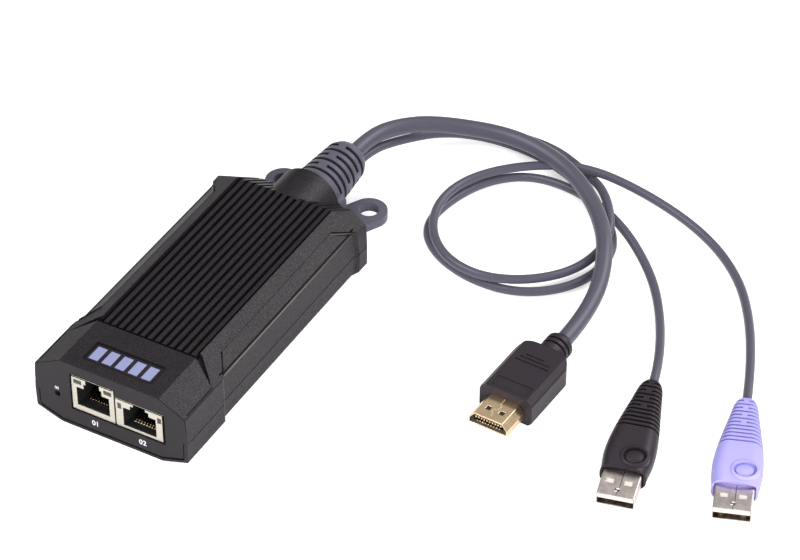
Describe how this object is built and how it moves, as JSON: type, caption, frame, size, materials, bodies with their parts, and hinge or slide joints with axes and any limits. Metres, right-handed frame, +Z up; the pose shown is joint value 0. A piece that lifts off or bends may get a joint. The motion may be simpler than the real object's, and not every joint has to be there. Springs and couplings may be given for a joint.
{
  "type": "keyboard, video and mouse console dongle",
  "caption": "Flat ribbed console dongle: eight-sided two-shell housing, two network sockets in front, and captive cords to a video plug and data plugs behind a soft ringed relief.",
  "frame": {"origin": "on the surface the dongle lies on, under the middle of the housing and its strain relief", "axes": "+Z up, +Y from the socket face towards the strain relief, +X to the right seen from the socket face"},
  "size_m": [0.2182, 0.1995, 0.0255],
  "materials": {
    "housing": "fine-grained charcoal",
    "relief": "soft matt slate",
    "cord": "soft satin slate",
    "grip": "matt black",
    "violet": "soft matt violet",
    "board": "lacquered board",
    "steel": "plated steel",
    "shield": "tinned sheet",
    "nickel": "nickel-plated sheet",
    "gold": "gold-plated",
    "black_plastic": "moulded black",
    "pale_plastic": "moulded white",
    "switch_button": "moulded black",
    "clear": "clear light guide",
    "chip": "moulded black",
    "ferrite": "ferrite",
    "can": "drawn can"
  },
  "bodies": {
    "dongle": {"upper_shell": "housing", "lower_shell": "housing", "strain_relief": "relief", "circuit_board": "board", "housing_screws": "steel", "left_jack_shield": "shield", "left_jack_insert": "black_plastic", "left_jack_contacts": "gold", "left_jack_lights": "clear", "right_jack_shield": "shield", "right_jack_insert": "black_plastic", "right_jack_contacts": "gold", "right_jack_lights": "clear", "reset_switch_case": "black_plastic", "processor": "chip", "memory_chips": "chip", "video_chip": "chip", "network_transformers": "chip", "power_inductor": "ferrite", "capacitors": "can", "video_wire_header": "pale_plastic", "data_wire_header": "pale_plastic", "video_leads": "relief", "data_leads": "relief", "video_cord": "cord", "violet_cord": "cord", "black_cord": "cord", "video_plug_grip": "grip", "video_plug_shell": "gold", "video_plug_insert": "black_plastic", "video_plug_contacts": "gold", "black_plug_grip": "grip", "black_plug_shell": "nickel", "black_plug_insert": "pale_plastic", "black_plug_contacts": "gold", "violet_plug_grip": "violet", "violet_plug_shell": "nickel", "violet_plug_insert": "pale_plastic", "violet_plug_contacts": "gold"},
    "reset_button": {"reset_button": "switch_button"}
  },
  "joints": [
    {"name": "reset_press", "type": "slide", "parent": "dongle", "child": "reset_button", "axis": [0, 1, 0], "range_m": [0, 0.00025], "stiffness_N_per_m": 1000, "springref_m": -0.0003}
  ]
}
